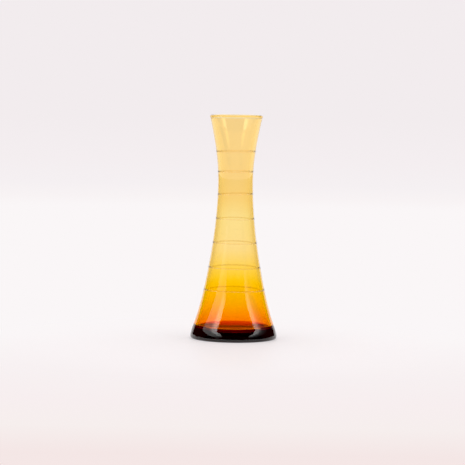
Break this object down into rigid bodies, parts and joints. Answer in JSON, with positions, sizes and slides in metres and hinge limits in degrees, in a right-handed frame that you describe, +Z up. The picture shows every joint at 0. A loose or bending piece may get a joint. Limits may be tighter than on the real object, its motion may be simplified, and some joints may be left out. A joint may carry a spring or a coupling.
{
  "type": "bud vase",
  "caption": "Slim amber glass bud vase with a heavy dark foot, a narrow neck, a flared mouth with a rounded lip, and fine raised glass threads round the outside.",
  "frame": {"origin": "centre of the foot, on the surface that the vase stands on", "axes": "+Z up along the vase's axis of revolution, towards the mouth; X and Y are any two directions across it"},
  "size_m": [0.0774, 0.0774, 0.2],
  "materials": {
    "foot_glass": "polished, very dark red amber",
    "wall_glass": "polished, orange amber at the foot fading to yellow at the neck",
    "lip_glass": "fire-polished, pale amber",
    "thread_glass": "fire-polished amber thread"
  },
  "bodies": {
    "root": {"foot": "foot_glass", "wall": "wall_glass", "lip": "lip_glass", "thread_1": "thread_glass", "thread_2": "thread_glass", "thread_3": "thread_glass", "thread_4": "thread_glass", "thread_5": "thread_glass", "thread_6": "thread_glass", "thread_7": "thread_glass"}
  },
  "joints": []
}
